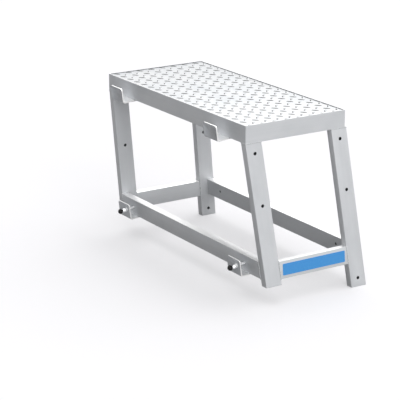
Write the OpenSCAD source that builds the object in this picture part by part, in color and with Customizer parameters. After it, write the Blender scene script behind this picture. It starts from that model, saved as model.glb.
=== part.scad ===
// Aluminium work platform unit: a tread deck on four leaning, splayed legs.
// The two back legs reach the floor. The front side has shorter legs, two deck
// hooks and two pinned brackets that grip the back rails of the next unit.
// X runs along the deck, the back is +Y, the origin is on the floor under the
// middle of the whole unit.

/* [Deck] */
// Length of the deck
deck_length = 1000; // [700:10:1400]
// Width of the deck, front to back
deck_width = 450; // [360:5:600]
// Height of the deck rails' rim above the floor
deck_height = 700; // [500:5:900]
// Height of the deck rails' tubes under the tread plate
deck_rail_height = 62; // [50:1:90]
// Thickness of the tread plate
plate_thickness = 3.5; // [2:0.5:5]
// Depth of the tread plate's flat face below the rim of the deck rails
sheet_drop = 3; // [1:0.5:6]
// Width of the rim that the deck rails have round the tread plate
rim_width = 3; // [2:0.5:6]
// Height of the bearers under the plate
bearer_height = 40; // [20:1:50]
// Width of the bearers under the plate
bearer_width = 25; // [15:1:40]
// Distance between the two bearers
bearer_spacing = 334; // [200:2:500]

/* [Tread bars] */
// Distance between neighbouring bars of one direction
tread_pitch = 54.3; // [40:0.1:70]
// Length of a raised bar
bar_length = 28; // [16:1:34]
// Width of a raised bar at its middle
bar_width = 6; // [4:0.5:9]
// Height of the raised bars
bar_height = 1.5; // [0.5:0.1:2.5]
// Distance from the left edge to the first column of bars
bar_side_margin = 15.6; // [10:0.1:30]
// Distance from the front edge to the first row of bars
bar_front_margin = 31; // [20:0.5:40]

/* [Tubes] */
// Wide side of the leg and lower rail tubes
tube_width = 70; // [50:1:90]
// Narrow side of the tubes
tube_thickness = 30; // [25:1:40]
// Wall of the leg and rail tubes
tube_wall = 3; // [2:0.5:5]

/* [Legs] */
// Angle at which the legs lean back towards the floor
leg_lean = 7.2; // [0:0.1:12]
// Angle at which each end frame splays outwards
end_splay = 4.5; // [0:0.1:8]
// How far the back legs stand proud of the deck's back edge
back_leg_overhang = 8; // [0:1:20]
// Height of the front feet above the floor
front_foot_rise = 75; // [0:1:80]
// Depth of the plugs in the feet
foot_plug_depth = 18; // [10:1:30]

/* [Lower rails] */
// Height of the front and back lower rails above the floor
long_rail_height = 102; // [95:1:250]
// Height of the end lower rails above the floor
end_rail_height = 98; // [90:1:250]

/* [Bolt holes] */
// Diameter of the bolt holes in the legs
bolt_hole_diameter = 13; // [9:0.5:16]
// Diameter of the pin holes in the back lower rail
pin_hole_diameter = 11; // [8:0.5:14]
// Upper leg hole, below the deck rails
upper_hole_drop = 40; // [25:1:80]
// Middle leg hole, below the deck rails
middle_hole_drop = 240; // [150:1:300]
// Foot hole of the back legs, above the floor
foot_hole_rise = 35; // [30:1:60]
// Pin holes of the back lower rail, from the deck's end
rail_hole_inset = 88; // [75:1:150]
// Pin holes of the back lower rail, above its lower edge
rail_hole_height = 38; // [30:1:45]

/* [Deck hooks] */
// Thickness of the hook and bracket plates
hook_plate = 5; // [3:0.5:8]
// Inner radius of their bends
bend_radius = 5; // [3:0.5:8]
// Radius of their free corners
plate_corner = 10; // [4:1:16]
// Width of a deck hook
hook_width = 90; // [60:1:120]
// Middle of a deck hook, from the deck's end
hook_inset = 155; // [120:1:220]
// Gap between a deck hook and the deck rail
hook_gap = 45; // [38:1:60]
// Top of a deck hook above the deck rail's underside
hook_rise = 57; // [40:1:62]
// Angle at which a deck hook leans away from the deck rail
hook_tilt = 7.2; // [0:0.1:12]
// How far the flange reaches under the rail
flange_reach = 27; // [15:1:29]

/* [Rail brackets] */
// Width of a rail bracket
bracket_width = 88; // [70:1:110]
// Gap between a rail bracket and the front lower rail
bracket_gap = 32; // [31:0.5:40]
// Top of a rail bracket above the lower edge of the rail
bracket_rise = 62; // [52:1:68]
// Distance of the pin from the middle of its bracket
pin_offset = 22; // [0:1:28]

/* [Lock pins] */
// Diameter of a lock pin
pin_diameter = 10; // [7:0.5:12]
// Radial clearance of the pin in its bush
pin_play = 0.1; // [0.05:0.01:0.2]
// Gap between the pin's tip and the rail
pin_tip_gap = 1.5; // [0.5:0.1:3]
// Bevel at the pin's tip
pin_bevel = 1.5; // [0.5:0.1:2]
// Length of the pin outside the bracket
pin_outside = 30; // [26:1:40]
// Outer diameter of the guide bush
bush_diameter = 17; // [15:0.5:24]
// Length of the guide bush outside the bracket
bush_length = 7; // [5:0.5:10]
// Wall of the bush where it passes through the bracket
bush_spigot_wall = 2; // [1:0.1:3]
// Thickness of the friction ring
ring_section = 2; // [1.5:0.1:2.5]
// Distance from the bush to the knob's ferrule
ferrule_gap = 5; // [3:0.5:8]
// Length of the ferrule
ferrule_length = 11; // [8:0.5:16]
// Larger diameter of the ferrule
ferrule_diameter = 18; // [15:0.5:22]
// Diameter of the knob
knob_diameter = 22; // [18:0.5:30]
// Length of the knob
knob_length = 18; // [14:0.5:24]

/* [Marking plate] */
// Length of the blank marking plate
marking_length = 290; // [150:5:300]
// Height of the blank marking plate
marking_height = 45; // [25:1:60]
// Thickness of the blank marking plate
marking_thickness = 1; // [0.5:0.1:2]

/* [Hidden] */
$fn = 72;

left = -1;
right = 1;
plate_top = deck_height - sheet_drop;
plate_bottom = plate_top - plate_thickness;
deck_underside = plate_bottom - deck_rail_height;
// Backward run of a leg for each millimetre that it drops
lean_run = tan(leg_lean) / cos(end_splay);
// The unit's reach in front of the deck edge and behind it, which set the origin
front_reach = (hook_gap + hook_plate) * cos(hook_tilt) + hook_rise * sin(hook_tilt);
back_reach = deck_width + back_leg_overhang + lean_run * deck_underside;
front_edge = (front_reach - back_reach) / 2;
back_edge = front_edge + deck_width;
leg_cut = tube_width / cos(leg_lean);
frame_drop = deck_underside / cos(end_splay);
// Slope of the long lower rails, which lie in the plane of the legs' narrow faces
rail_tilt = atan(lean_run);
front_rail_y = front_edge
    + lean_run * (deck_underside - long_rail_height - tube_thickness * sin(end_splay));
back_rail_y = back_edge + back_leg_overhang
    + lean_run * (deck_underside - long_rail_height - tube_thickness * sin(end_splay));
hook_x = deck_length / 2 - hook_inset;
pin_x = deck_length / 2 - rail_hole_inset;
pin_stroke = bracket_gap - pin_tip_gap;
bush_bore = pin_diameter + 2 * pin_play;
spigot_diameter = bush_bore + 2 * bush_spigot_wall;
overrun = 1;
wide = 4 * deck_length;

// Places its children in the plane of an end frame: X out of the frame, Y back,
// Z up from the underside of the deck
module end_frame(side) {
    mirror([side == left ? 1 : 0, 0, 0])
        translate([deck_length / 2, 0, deck_underside])
            rotate([0, -end_splay, 0])
                children();
}

// Places its children on a long lower rail: Y into the rail's outer face, Z up it
module rail_frame(y) {
    translate([0, y, long_rail_height])
        rotate([rail_tilt, 0, 0])
            children();
}

// Space between two heights
module height_band(low, high) {
    translate([-wide / 2, -wide / 2, low])
        cube([wide, wide, high - low]);
}

// Straight bar with the section of a leg, as a strip in the plane of its end frame
module leg_strip(top_y, inset) {
    reach = frame_drop + tube_width;
    linear_edge = [
        for (p = [[0, tube_width], [leg_cut, tube_width], [leg_cut, -reach], [0, -reach]])
            [p[0] - p[1] * tan(leg_lean) + (p[0] == 0 ? inset : -inset) / cos(leg_lean), p[1]]
    ];
    translate([-inset, 0, 0])
        rotate([90, 0, -90])
            mirror([1, 0, 0])
                linear_extrude(tube_thickness - 2 * inset)
                    translate([top_y, 0])
                        polygon(linear_edge);
}

// Bolt hole through a leg at a distance below the deck's underside
module leg_hole(top_y, drop) {
    slope_drop = drop / cos(end_splay);
    translate([overrun, top_y + leg_cut / 2 + slope_drop * tan(leg_lean), -slope_drop])
        rotate([0, -90, 0])
            cylinder(d = bolt_hole_diameter, h = tube_thickness + 2 * overrun);
}

// One leg tube, cut level at its top and at its foot
module leg(side, top_y, foot, drops) {
    color("gainsboro")
        difference() {
            intersection() {
                end_frame(side)
                    difference() {
                        leg_strip(top_y, 0);
                        leg_strip(top_y, tube_wall);
                    }
                height_band(foot, deck_underside);
            }
            end_frame(side)
                for (drop = drops)
                    leg_hole(top_y, drop);
        }
}

// Plug that closes the foot of a leg
module foot_plug(side, top_y, foot) {
    color("dimgray")
        intersection() {
            end_frame(side)
                leg_strip(top_y, tube_wall);
            height_band(foot, foot + foot_plug_depth);
        }
}

front_leg_y = front_edge;
back_leg_y = back_edge + back_leg_overhang - leg_cut;
front_drops = [upper_hole_drop, middle_hole_drop];
back_drops = [upper_hole_drop, middle_hole_drop, deck_underside - foot_hole_rise];

// Lens-shaped outline of one raised bar
function bar_outline() = [
    for (k = [0:7])
        let (t = 45 * k)
        [bar_length / 2 * cos(t), bar_width / 2 * sin(t) * (k % 4 == 0 ? 1 : 1 - abs(cos(t)) * 0.12)]
];

// Level slab that fills the rim of the deck rails
module inside_rim(low, thickness) {
    translate([-deck_length / 2 + rim_width, front_edge + rim_width, low])
        cube([deck_length - 2 * rim_width, deck_width - 2 * rim_width, thickness]);
}

// Tread plate with bars that turn a quarter from one to the next
module tread_plate() {
    half = tread_pitch / 2;
    columns = ceil(deck_length / half) + 1;
    rows = ceil(deck_width / half) + 1;
    color("whitesmoke") {
        inside_rim(plate_bottom, plate_thickness);
        intersection() {
            inside_rim(plate_top - plate_thickness / 2, plate_thickness / 2 + bar_height);
            union()
                for (i = [-1:columns], j = [-1:rows])
                    if ((i + j) % 2 == 0)
                        translate([
                            -deck_length / 2 + bar_side_margin + i * half,
                            front_edge + bar_front_margin + j * half,
                            plate_top - plate_thickness / 2
                        ])
                            rotate([0, 0, i % 2 == 0 ? 45 : -45])
                                linear_extrude(plate_thickness / 2 + bar_height)
                                    polygon(bar_outline());
        }
    }
}

// Rectangular ring of tube, as high as the deck rails, narrowed by an inset
module deck_ring(inset) {
    translate([-deck_length / 2 + inset, front_edge + inset, deck_underside + inset])
        cube([deck_length - 2 * inset, deck_width - 2 * inset, deck_rail_height - 2 * inset]);
}

// The four deck rails in one with their rim, before they are parted at their mitres
module deck_tubes() {
    inner = tube_thickness;
    difference() {
        translate([-deck_length / 2, front_edge, plate_bottom - tube_wall / 2])
            cube([deck_length, deck_width, deck_height - plate_bottom + tube_wall / 2]);
        inside_rim(plate_bottom - tube_wall, tube_wall + deck_height - plate_bottom + overrun);
    }
    difference() {
        deck_ring(0);
        translate([-deck_length / 2 + inner, front_edge + inner, deck_underside - overrun])
            cube([deck_length - 2 * inner, deck_width - 2 * inner, deck_rail_height + 2 * overrun]);
        difference() {
            deck_ring(tube_wall);
            translate([
                -deck_length / 2 + inner - tube_wall,
                front_edge + inner - tube_wall,
                deck_underside - overrun
            ])
                cube([
                    deck_length - 2 * (inner - tube_wall),
                    deck_width - 2 * (inner - tube_wall),
                    deck_rail_height + 2 * overrun
                ]);
        }
    }
}

// Front or back deck rail, mitred at both ends
module long_deck_rail(facing) {
    middle = front_edge + deck_width / 2;
    half = deck_width / 2;
    color("gainsboro")
        intersection() {
            deck_tubes();
            translate([0, middle, deck_underside - overrun])
                linear_extrude(deck_height - deck_underside + 2 * overrun)
                    polygon([
                        [-deck_length / 2, facing * half],
                        [deck_length / 2, facing * half],
                        [deck_length / 2 - half, 0],
                        [-deck_length / 2 + half, 0]
                    ]);
        }
}

// Left or right deck rail, mitred at both ends
module end_deck_rail(side) {
    middle = front_edge + deck_width / 2;
    half = deck_width / 2;
    color("gainsboro")
        intersection() {
            deck_tubes();
            translate([side * deck_length / 2, middle, deck_underside - overrun])
                linear_extrude(deck_height - deck_underside + 2 * overrun)
                    polygon([[0, -half], [0, half], [-side * half, 0]]);
        }
}

// Bearer tube that stiffens the plate between the long deck rails
module bearer(side) {
    run = deck_width - 2 * tube_thickness;
    color("gainsboro")
        translate([
            side * bearer_spacing / 2 - bearer_width / 2,
            front_edge + tube_thickness,
            plate_bottom - bearer_height
        ])
            difference() {
                cube([bearer_width, run, bearer_height]);
                translate([tube_wall, -overrun, tube_wall])
                    cube([
                        bearer_width - 2 * tube_wall,
                        run + 2 * overrun,
                        bearer_height - 2 * tube_wall
                    ]);
            }
}

// Space between the inner faces of the two end frames
module between_ends() {
    top = deck_length / 2 - tube_thickness / cos(end_splay);
    foot = top + deck_underside * tan(end_splay);
    translate([0, wide / 2, 0])
        rotate([90, 0, 0])
            linear_extrude(wide)
                polygon([[-foot, 0], [foot, 0], [top, deck_underside], [-top, deck_underside]]);
}

// Long lower rail between the end frames, from its outer or inner face at y
module long_lower_rail(y, from) {
    intersection() {
        rail_frame(y)
            difference() {
                translate([-wide / 2, from, 0])
                    cube([wide, tube_thickness, tube_width]);
                translate([-wide / 2, from + tube_wall, tube_wall])
                    cube([wide, tube_thickness - 2 * tube_wall, tube_width - 2 * tube_wall]);
            }
        between_ends();
    }
}

module front_lower_rail() {
    color("silver")
        long_lower_rail(front_rail_y, 0);
}

// The back rail has the holes that take the next unit's lock pins
module back_lower_rail() {
    color("silver")
        difference() {
            long_lower_rail(back_rail_y, -tube_thickness);
            rail_frame(back_rail_y)
                for (side = [left, right])
                    translate([side * pin_x, overrun, rail_hole_height])
                        rotate([90, 0, 0])
                            cylinder(d = pin_hole_diameter, h = tube_thickness + 2 * overrun);
        }
}

// Strip between the legs of an end frame, carried on past their faces by an overrun
module end_strip(low, height, out, thickness, past = 0) {
    front_side = front_leg_y + leg_cut - past;
    back_side = back_leg_y + past;
    translate([out, 0, 0])
        rotate([90, 0, -90])
            mirror([1, 0, 0])
                linear_extrude(thickness)
                    polygon([
                        for (p = [[front_side, low], [back_side, low],
                                  [back_side, low + height], [front_side, low + height]])
                            [p[0] - p[1] * tan(leg_lean), p[1]]
                    ]);
}

module end_lower_rail(side) {
    low = (end_rail_height - deck_underside) / cos(end_splay);
    color("gainsboro")
        end_frame(side)
            difference() {
                end_strip(low, tube_width, 0, tube_thickness);
                end_strip(
                    low + tube_wall, tube_width - 2 * tube_wall,
                    -tube_wall, tube_thickness - 2 * tube_wall, overrun
                );
            }
}

// Blank marking plate, centred on the outer face of the right end rail
module marking_plate() {
    low = (end_rail_height - deck_underside) / cos(end_splay) + (tube_width - marking_height) / 2;
    middle = (front_leg_y + leg_cut + back_leg_y) / 2
        - (low + marking_height / 2) * tan(leg_lean);
    color("cornflowerblue")
        end_frame(right)
            translate([0, middle - marking_length / 2, low])
                cube([marking_thickness, marking_length, marking_height]);
}

// Bent plate with its upright in front of a rail and its flange under it
module bent_plate(width, gap, rise, reach) {
    outer = bend_radius + hook_plate;
    front = -gap - hook_plate;
    intersection() {
        translate([-width / 2, 0, 0])
            rotate([90, 0, 90])
                linear_extrude(width)
                    difference() {
                        union() {
                            translate([front, -hook_plate + outer])
                                square([outer, rise + hook_plate - outer]);
                            translate([front + outer, -hook_plate])
                                square([reach - front - outer, outer]);
                            translate([front + outer, -hook_plate + outer])
                                circle(outer);
                        }
                        translate([front + outer, -hook_plate + outer])
                            circle(bend_radius);
                        translate([-gap, -hook_plate + outer])
                            square([reach + gap + overrun, rise + outer]);
                        translate([front + outer, 0])
                            square([reach - front, rise + outer]);
                    }
        translate([0, reach + overrun, 0])
            rotate([90, 0, 0])
                linear_extrude(reach - front + 2 * overrun)
                    plate_outline(width, rise);
    }
}

// Front view of a bent plate, with rounded upper corners
module plate_outline(width, rise) {
    translate([-width / 2, -hook_plate - overrun])
        square([width, rise - plate_corner + hook_plate + overrun]);
    translate([-width / 2 + plate_corner, 0])
        square([width - 2 * plate_corner, rise]);
    for (side = [left, right])
        translate([side * (width / 2 - plate_corner), rise - plate_corner])
            circle(plate_corner);
}

// Deck hook, bent down from its level seat at the rail's front edge
module deck_hook(side) {
    color("lightgray")
        translate([side * hook_x, front_edge, deck_underside]) {
            rotate([hook_tilt, 0, 0])
                bent_plate(hook_width, hook_gap, hook_rise, 0);
            translate([-hook_width / 2, 0, -hook_plate])
                cube([hook_width, flange_reach, hook_plate]);
        }
}

// Places its children on a lock pin's axis, Z pointing out of the bracket's face
module pin_frame(side) {
    rail_frame(front_rail_y)
        translate([side * pin_x, -bracket_gap - hook_plate, rail_hole_height])
            rotate([90, 0, 0])
                children();
}

module rail_bracket(side) {
    color("lightgray")
        difference() {
            rail_frame(front_rail_y)
                translate([side * pin_x - pin_offset, 0, 0])
                    bent_plate(bracket_width, bracket_gap, bracket_rise, flange_reach);
            pin_frame(side)
                translate([0, 0, -hook_plate - overrun])
                    cylinder(d = spigot_diameter, h = hook_plate + 2 * overrun);
        }
}

// Bush in the bracket that guides the pin and holds the friction ring
module guide_bush(side) {
    groove = pin_diameter + 2 * pin_play + 2 * ring_section;
    color("gainsboro")
        pin_frame(side)
            difference() {
                union() {
                    cylinder(d = bush_diameter, h = bush_length);
                    translate([0, 0, -hook_plate])
                        cylinder(d = spigot_diameter, h = hook_plate + bush_length / 2);
                }
                translate([0, 0, -hook_plate - overrun])
                    cylinder(d = bush_bore, h = hook_plate + bush_length + 2 * overrun);
                translate([0, 0, (bush_length - ring_section) / 2])
                    cylinder(d = groove, h = ring_section);
            }
}

// Rubber ring in the bush, whose grip keeps the pin where it is put
module friction_ring(side) {
    color("black")
        pin_frame(side)
            translate([0, 0, bush_length / 2])
                rotate_extrude()
                    translate([bush_bore / 2 + ring_section / 2, 0])
                        circle(d = ring_section, $fn = 24);
}

module lock_pin(side) {
    inside = hook_plate + bracket_gap - pin_tip_gap;
    color("silver")
        pin_frame(side) {
            translate([0, 0, pin_bevel - inside])
                cylinder(d = pin_diameter, h = inside - pin_bevel + pin_outside);
            translate([0, 0, -inside])
                cylinder(
                    d1 = pin_diameter - 2 * pin_bevel,
                    d2 = pin_diameter,
                    h = pin_bevel
                );
        }
}

// Bright flared ferrule behind the knob
module ferrule(side) {
    neck = (pin_diameter + ferrule_diameter) / 2;
    color("silver")
        pin_frame(side)
            translate([0, 0, bush_length + ferrule_gap])
                difference() {
                    cylinder(d1 = ferrule_diameter, d2 = neck, h = ferrule_length);
                    translate([0, 0, -overrun])
                        cylinder(d = pin_diameter, h = ferrule_length + 2 * overrun);
                }
}

// Domed pull knob on the end of the pin
module pull_knob(side) {
    base = bush_length + ferrule_gap + ferrule_length;
    neck = (pin_diameter + ferrule_diameter) / 2;
    belly = knob_length * 0.4;
    radius = knob_diameter / 2;
    color("black")
        pin_frame(side)
            difference() {
                translate([0, 0, base])
                    rotate_extrude()
                        difference() {
                            union() {
                                polygon([[0, 0], [neck / 2, 0], [radius, belly], [0, belly]]);
                                intersection() {
                                    translate([0, belly])
                                        scale((knob_length - belly) / radius)
                                            circle(radius);
                                    square([radius, knob_length]);
                                }
                                square([radius * 0.6, knob_length - belly]);
                            }
                            translate([-wide, -wide / 2])
                                square([wide, wide]);
                        }
                translate([0, 0, base - overrun])
                    cylinder(d = pin_diameter, h = pin_outside - base + overrun);
            }
}

tread_plate();
long_deck_rail(-1);  // front_deck_rail
long_deck_rail(1);  // back_deck_rail
end_deck_rail(left);  // left_deck_rail
end_deck_rail(right);  // right_deck_rail
bearer(left);  // left_bearer
bearer(right);  // right_bearer
leg(left, front_leg_y, front_foot_rise, front_drops);  // front_left_leg
leg(right, front_leg_y, front_foot_rise, front_drops);  // front_right_leg
leg(left, back_leg_y, 0, back_drops);  // back_left_leg
leg(right, back_leg_y, 0, back_drops);  // back_right_leg
foot_plug(left, front_leg_y, front_foot_rise);  // front_left_plug
foot_plug(right, front_leg_y, front_foot_rise);  // front_right_plug
foot_plug(left, back_leg_y, 0);  // back_left_plug
foot_plug(right, back_leg_y, 0);  // back_right_plug
front_lower_rail();
back_lower_rail();
end_lower_rail(left);  // left_lower_rail
end_lower_rail(right);  // right_lower_rail
deck_hook(left);  // left_deck_hook
deck_hook(right);  // right_deck_hook
rail_bracket(left);  // left_rail_bracket
rail_bracket(right);  // right_rail_bracket
guide_bush(left);  // left_guide_bush
guide_bush(right);  // right_guide_bush
friction_ring(left);  // left_friction_ring
friction_ring(right);  // right_friction_ring
lock_pin(left);  // left_lock_pin
lock_pin(right);  // right_lock_pin
ferrule(left);  // left_ferrule
ferrule(right);  // right_ferrule
pull_knob(left);  // left_pull_knob
pull_knob(right);  // right_pull_knob
marking_plate();
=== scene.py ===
"""Dressed model of an aluminium work platform unit, on the frame that the CAD gives."""

import logging
import math
import random
from dataclasses import dataclass
from enum import Enum
from functools import cache
from typing import Callable, Iterable, NamedTuple, Optional, Sequence, Union

import bmesh
import bpy
from mathutils import Euler, Matrix, Vector
from mathutils.bvhtree import BVHTree


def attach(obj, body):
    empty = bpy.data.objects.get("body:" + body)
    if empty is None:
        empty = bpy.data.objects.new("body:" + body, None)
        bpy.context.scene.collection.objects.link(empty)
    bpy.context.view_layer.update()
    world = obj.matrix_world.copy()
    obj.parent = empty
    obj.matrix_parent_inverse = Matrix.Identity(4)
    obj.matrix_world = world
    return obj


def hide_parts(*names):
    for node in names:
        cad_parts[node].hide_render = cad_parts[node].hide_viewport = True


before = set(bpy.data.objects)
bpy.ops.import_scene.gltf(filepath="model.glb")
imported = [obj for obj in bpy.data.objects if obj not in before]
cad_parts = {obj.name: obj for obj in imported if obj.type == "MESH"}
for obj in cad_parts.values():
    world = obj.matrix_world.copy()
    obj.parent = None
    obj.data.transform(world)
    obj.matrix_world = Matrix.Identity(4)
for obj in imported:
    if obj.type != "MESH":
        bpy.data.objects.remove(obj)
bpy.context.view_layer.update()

log = logging.getLogger("work_platform")

FRAME_BODY = "frame"

Size = tuple[float, float, float]
Seam = tuple[Vector, Vector]
Outline = Sequence[tuple[float, float]]
Colour = Union[str, bpy.types.NodeSocket]

NO_TURN = Euler((0, 0, 0))
WHITE = (1.0, 1.0, 1.0, 1.0)

# Numbers of the two colour inputs and the colour output on Blender's Mix node
MIX_FIRST = 6
MIX_SECOND = 7
MIX_RESULT = 2

# Most of a noise lies between these strengths
WEAK = 0.3
STRONG = 0.7

# Number of a piece's second material
SECOND = 1

# Points nearer than this are one: on a CAD solid, a turned piece and a cut through bars
SOLID_MERGE = 0.00001
TURNED_MERGE = 0.000001
CUT_MERGE = 0.0000001

# Triangles of one flat CAD face differ by less than this
FLAT_ANGLE = math.radians(0.4)

# Slack for telling on which side of a plane a point lies
SLACK = 0.0002


class Side(Enum):
    """The two ends of the unit, seen from the hook side."""

    LEFT = -1
    RIGHT = 1

    @property
    def word(self) -> str:
        """The side's name in lower case."""
        return self.name.lower()


class Row(Enum):
    """The hook side of the unit and the side that stands on the floor."""

    FRONT = "front"
    BACK = "back"


class Grain(Enum):
    """Direction in which a tube was drawn, which its fine lines follow."""

    ALONG_X = "x"
    ALONG_Y = "y"
    LEFT_LEG = "left"
    RIGHT_LEG = "right"


def linear(hex_colour: str) -> tuple[float, float, float, float]:
    """Turns an sRGB hex colour into a linear colour.

    Args:
        hex_colour: Six hex digits after a hash sign.

    Returns:
        Red, green, blue and alpha, linear.
    """
    parts = [int(hex_colour[k:k + 2], 16) / 255 for k in (1, 3, 5)]
    low = [c / 12.92 if c <= 0.04045 else ((c + 0.055) / 1.055) ** 2.4 for c in parts]
    return (low[0], low[1], low[2], 1.0)


def add_node(
    tree: bpy.types.NodeTree,
    kind: str,
    settings: Optional[dict] = None,
    links: Optional[dict] = None,
) -> bpy.types.Node:
    """Adds one node with its settings and its input links.

    Args:
        tree: Node tree that takes the node.
        kind: Blender's name of the node type.
        settings: Values for the node's properties, or for its inputs by name or number.
        links: Output sockets of other nodes, by the input's name or number.

    Returns:
        The new node.
    """
    node = tree.nodes.new(kind)
    for key, value in (settings or {}).items():
        if isinstance(key, str) and hasattr(node, key):
            setattr(node, key, value)
        else:
            node.inputs[key].default_value = value
    for key, socket in (links or {}).items():
        tree.links.new(socket, node.inputs[key])
    return node


@dataclass(frozen=True)
class Layout:
    """Sizes of the unit that its pieces share, in metres and radians."""

    deck_length: float = 1.000
    deck_width: float = 0.450
    deck_height: float = 0.700
    deck_rail: float = 0.062
    sheet: float = 0.0035
    sheet_drop: float = 0.003
    rim: float = 0.003
    tube_width: float = 0.070
    tube_depth: float = 0.030
    lean: float = math.radians(7.2)
    splay: float = math.radians(4.5)
    overhang: float = 0.008
    long_rail_z: float = 0.102
    end_rail_z: float = 0.098
    hook_gap: float = 0.045
    hook_rise: float = 0.057
    hook_tilt: float = math.radians(7.2)
    hook_plate: float = 0.005
    hook_x: float = 0.345
    hook_width: float = 0.090
    bracket_gap: float = 0.032
    bracket_width: float = 0.088
    pin_x: float = 0.412
    pin_z: float = 0.038
    pin_offset: float = 0.022

    @property
    def plate_top(self) -> float:
        """Height of the tread plate's flat face, inside the deck rails' rim."""
        return self.deck_height - self.sheet_drop

    @property
    def underside(self) -> float:
        """Height of the deck rails' underside."""
        return self.plate_top - self.sheet - self.deck_rail

    @property
    def run(self) -> float:
        """Backward run of a leg for each metre that it drops."""
        return math.tan(self.lean) / math.cos(self.splay)

    @property
    def hook_reach(self) -> float:
        """How far a deck hook stands out in front of the deck."""
        out = self.hook_gap + self.hook_plate
        return out * math.cos(self.hook_tilt) + self.hook_rise * math.sin(self.hook_tilt)

    @property
    def front_edge(self) -> float:
        """Y of the deck's front edge."""
        reach = self.deck_width + self.overhang + self.run * self.underside
        return (self.hook_reach - reach) / 2

    @property
    def back_edge(self) -> float:
        """Y of the deck's back edge."""
        return self.front_edge + self.deck_width

    @property
    def leg_cut(self) -> float:
        """Length of a leg's level cut, front to back."""
        return self.tube_width / math.cos(self.lean)

    def leg_top(self, row: Row) -> float:
        """Y of a leg's front corner at its top."""
        back = self.back_edge + self.overhang - self.leg_cut
        return self.front_edge if row is Row.FRONT else back

    def end_frame(self, side: Side) -> Matrix:
        """Gives the plane of an end frame.

        Args:
            side: End of the unit.

        Returns:
            Matrix with X out of the end, Y back and Z up from the deck's underside.
        """
        turn = Matrix.Rotation(-self.splay, 4, "Y")
        place = Matrix.Translation((self.deck_length / 2, 0, self.underside))
        flip = Matrix.Scale(side.value, 4, (1, 0, 0))
        return flip @ place @ turn

    def rail_frame(self, row: Row) -> Matrix:
        """Gives the outer face of a long lower rail.

        Args:
            row: Side of the unit that the rail is on.

        Returns:
            Matrix with Y into the unit's back and Z up the rail from its lower edge.
        """
        top = self.front_edge if row is Row.FRONT else self.back_edge + self.overhang
        drop = self.underside - self.long_rail_z - self.tube_depth * math.sin(self.splay)
        place = Matrix.Translation((0, top + self.run * drop, self.long_rail_z))
        return place @ Matrix.Rotation(math.atan(self.run), 4, "X")

    def pin_frame(self, side: Side) -> Matrix:
        """Gives a lock pin's axis.

        Args:
            side: End of the unit that the pin is at.

        Returns:
            Matrix with Z out of the bracket's outer face along the pin.
        """
        face = Matrix.Translation(
            (side.value * self.pin_x, -self.bracket_gap - self.hook_plate, self.pin_z)
        )
        return self.rail_frame(Row.FRONT) @ face @ Matrix.Rotation(math.pi / 2, 4, "X")

    def inner_face_x(self, height: float) -> float:
        """Distance of a leg's inner face from the middle of the unit, at a height."""
        out = (self.underside - height) * math.tan(self.splay)
        return self.deck_length / 2 - self.tube_depth / math.cos(self.splay) + out

    def grain_turn(self, grain: Grain) -> Euler:
        """Gives the turn that lays a pattern's X axis along a tube.

        Args:
            grain: Direction of the tube.

        Returns:
            The turn from the X axis to the tube.
        """
        if grain is Grain.ALONG_X:
            return NO_TURN
        if grain is Grain.ALONG_Y:
            return Euler((0, 0, math.pi / 2))
        side = Side.LEFT if grain is Grain.LEFT_LEG else Side.RIGHT
        down = Vector((0, math.sin(self.lean), -math.cos(self.lean)))
        along = (self.end_frame(side).to_3x3() @ down).normalized()
        return Vector((1, 0, 0)).rotation_difference(along).to_euler()


LAYOUT = Layout()

# The four rails of a level frame, and the direction in which each was drawn
RAIL_GRAINS = (
    ("front", Grain.ALONG_X), ("back", Grain.ALONG_X),
    ("left", Grain.ALONG_Y), ("right", Grain.ALONG_Y),
)


@dataclass(frozen=True)
class Pattern:
    """Spots of a real size on a surface.

    Attributes:
        size: Size of a spot along each turned axis, in metres.
        detail: Number of finer layers.
        fineness: Weight of the finer layers.
    """

    size: Size
    detail: float = 2.0
    fineness: float = 0.5


@dataclass(frozen=True)
class Stain:
    """A colour that lies over a surface where a pattern is strong.

    Attributes:
        colour: Hex colour.
        most: Largest share of the colour.
        start: Strength up to which none of it shows.
        stop: Strength from which the largest share shows.
    """

    colour: str
    most: float = 1.0
    start: float = WEAK
    stop: float = STRONG


class Ramp(NamedTuple):
    """A shader value that rises with a pattern's strength."""

    where: bpy.types.NodeSocket
    low: float
    high: float
    start: float = WEAK
    stop: float = STRONG


class Relief(NamedTuple):
    """A pattern's real height, in metres, and the share of it that shows."""

    where: bpy.types.NodeSocket
    height: float
    visible: float


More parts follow.
